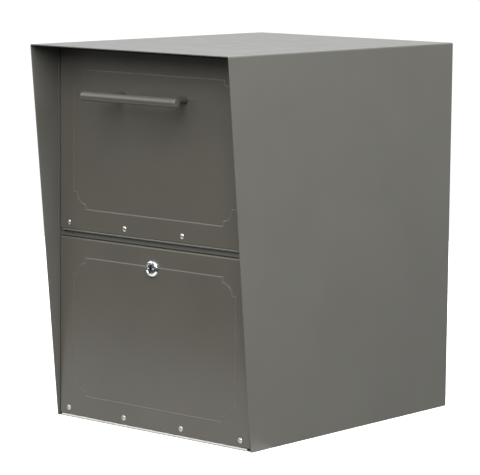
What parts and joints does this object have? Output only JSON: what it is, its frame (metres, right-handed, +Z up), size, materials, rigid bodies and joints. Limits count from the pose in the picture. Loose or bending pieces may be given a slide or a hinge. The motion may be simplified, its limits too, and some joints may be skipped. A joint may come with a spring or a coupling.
{
  "type": "parcel drop box",
  "caption": "Sheet-steel parcel drop box: raked hood, pull-down hopper door with bar handle above a bottom-hinged access door with cam lock.",
  "frame": {"origin": "middle of the box's outline, on the surface it stands on", "axes": "+Z up, +X across the doors, doors face -Y and the rear panel faces +Y"},
  "size_m": [0.381, 0.511, 0.554],
  "materials": {
    "casing_paint": "bronze-grey metallic powder coat, semi-gloss",
    "door_paint": "bronze-grey metallic powder coat, semi-gloss",
    "handle_finish": "bronze-grey satin coat on a steel bar",
    "zinc": "bright zinc plate",
    "steel": "drawn steel wire",
    "rivet": "bright aluminium",
    "chrome": "polished chrome plate",
    "rubber": "black moulded rubber"
  },
  "bodies": {
    "casing": {"casing_wrap": "casing_paint", "rear_panel": "casing_paint", "floor_panel": "casing_paint", "left_jamb": "casing_paint", "right_jamb": "casing_paint", "header_rail": "casing_paint", "cross_rail": "casing_paint", "lock_strike": "zinc", "anti_theft_baffle": "casing_paint", "door_bumpers": "rubber", "hopper_hinge_frame_leaf": "casing_paint", "hopper_hinge_pin": "steel", "access_hinge_frame_leaf": "zinc", "access_hinge_pin": "steel"},
    "hopper": {"hopper_door": "door_paint", "hopper_hinge_door_leaf": "casing_paint", "hopper_door_rivets": "rivet", "handle_bar": "handle_finish", "handle_posts": "handle_finish", "handle_backing_strip": "zinc", "handle_screws": "zinc", "hopper_tray": "door_paint", "left_hopper_cheek": "door_paint", "right_hopper_cheek": "door_paint", "hopper_tray_rivets": "rivet"},
    "access": {"access_door": "door_paint", "access_hinge_door_leaf": "zinc", "access_door_rivets": "rivet", "lock_housing": "chrome", "lock_nut": "zinc"},
    "lock": {"lock_plug": "chrome", "lock_cam": "zinc", "lock_cam_washer": "zinc", "lock_cam_screw": "zinc"}
  },
  "joints": [
    {"name": "hopper_door_hinge", "type": "hinge", "parent": "casing", "child": "hopper", "pos_m": [0, -0.198, 0.2804], "axis": [1, 0, 0], "range_deg": [0, 60]},
    {"name": "access_door_hinge", "type": "hinge", "parent": "casing", "child": "access", "pos_m": [0, -0.198, 0.0029], "axis": [1, 0, 0], "range_deg": [0, 88]},
    {"name": "lock_turn", "type": "hinge", "parent": "access", "child": "lock", "pos_m": [0, -0.1985, 0.24], "axis": [0, -1, 0], "range_deg": [0, 90]}
  ]
}
